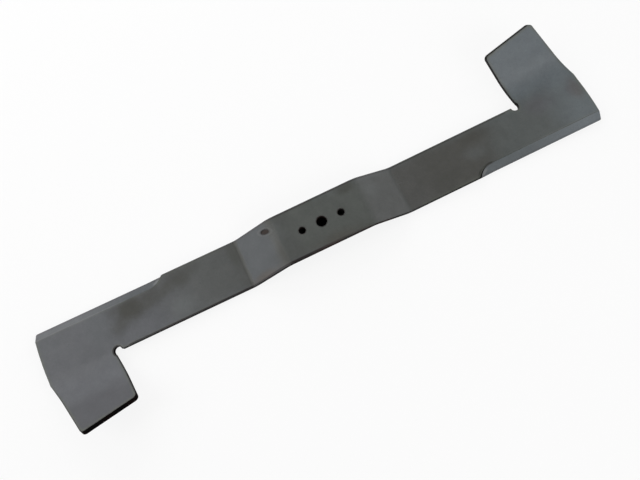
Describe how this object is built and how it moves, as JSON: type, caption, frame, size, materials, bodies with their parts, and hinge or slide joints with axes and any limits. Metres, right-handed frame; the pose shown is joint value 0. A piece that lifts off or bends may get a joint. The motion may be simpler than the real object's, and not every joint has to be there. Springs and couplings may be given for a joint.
{
  "type": "lawn mower blade",
  "caption": "Flat steel mower blade with a raised centre, mounting holes, ground cutting edges and air lift wings bent up at the tips.",
  "frame": {"origin": "on the spindle axis, at the top face of the raised centre", "axes": "+X along the blade to one tip, +Z along the spindle axis, away from the cut and to the side that the wings are bent up to"},
  "size_m": [0.59, 0.1718, 0.043],
  "materials": {
    "coated_steel": "dark grey satin coating, slightly mottled"
  },
  "bodies": {
    "root": {"blade": "coated_steel"}
  },
  "joints": []
}
